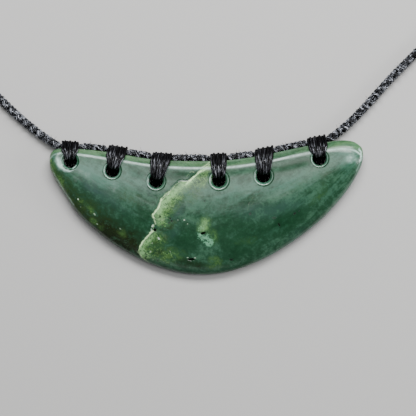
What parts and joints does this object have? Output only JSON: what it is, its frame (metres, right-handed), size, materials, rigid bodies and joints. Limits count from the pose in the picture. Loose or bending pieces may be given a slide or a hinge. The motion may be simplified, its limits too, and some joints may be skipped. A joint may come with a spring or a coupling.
{
  "type": "greenstone breastplate pendant on a plaited neck cord",
  "caption": "Polished crescent of greenstone lashed with thread through countersunk holes to a plaited neck cord, laid flat.",
  "frame": {"origin": "a point on the stone's flat back, midway between its two tips, on the surface that it lies on", "axes": "+X from the left tip to the right tip, +Y towards the straighter drilled edge and the neck, +Z out of the polished face"},
  "size_m": [0.1762, 0.129, 0.0076],
  "materials": {
    "greenstone": "polished nephrite with cloudy green bands and a pale healed crack",
    "waxed_thread": "black waxed thread",
    "plaited_cord": "black waxed cord, plaited round",
    "clasp_metal": "satin black"
  },
  "bodies": {
    "root": {"stone": "greenstone", "lashing_1": "waxed_thread", "lashing_2": "waxed_thread", "lashing_3": "waxed_thread", "lashing_4": "waxed_thread", "lashing_5": "waxed_thread", "lashing_6": "waxed_thread", "neck_cord": "plaited_cord", "clasp": "clasp_metal"}
  },
  "joints": []
}
